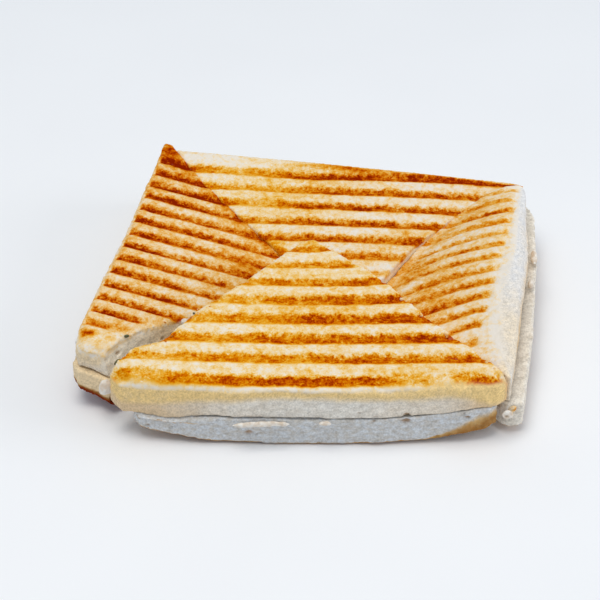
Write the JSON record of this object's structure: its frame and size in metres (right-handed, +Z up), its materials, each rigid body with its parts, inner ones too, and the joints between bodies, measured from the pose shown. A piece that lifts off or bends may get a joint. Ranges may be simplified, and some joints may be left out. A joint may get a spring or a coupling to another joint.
{
  "type": "grilled vegetable cheese sandwich",
  "caption": "Grilled vegetable and cheese sandwich on white bread with browned ridge marks, cut crosswise into wedges that lie together as a square, the front one leaning on the others.",
  "frame": {"origin": "on the floor under the middle of the sandwich's box", "axes": "+Z up, +Y from the front wedge that leans towards the back wedge, +X towards the right wedge"},
  "size_m": [0.1424, 0.1332, 0.0282],
  "materials": {
    "toasted_bread": "dry toasted crumb",
    "white_bread": "dry soft crumb",
    "melted_cheese": "slightly shiny melted cheese",
    "vegetable_filling": "moist filling",
    "green_pepper": "moist cut vegetable"
  },
  "bodies": {
    "root": {"back_bottom_bread": "white_bread", "back_filling": "vegetable_filling", "back_top_bread": "toasted_bread", "front_bottom_bread": "white_bread", "front_cheese_1": "melted_cheese", "front_cheese_2": "melted_cheese", "front_filling": "vegetable_filling", "front_top_bread": "toasted_bread", "left_bottom_bread": "white_bread", "left_corner_cheese": "melted_cheese", "left_filling": "vegetable_filling", "left_gap_cheese": "melted_cheese", "left_pepper": "green_pepper", "left_top_bread": "toasted_bread", "right_bottom_bread": "white_bread", "right_corner_cheese": "melted_cheese", "right_filling": "vegetable_filling", "right_side_cheese_1": "melted_cheese", "right_side_cheese_2": "melted_cheese", "right_top_bread": "toasted_bread"}
  },
  "joints": []
}
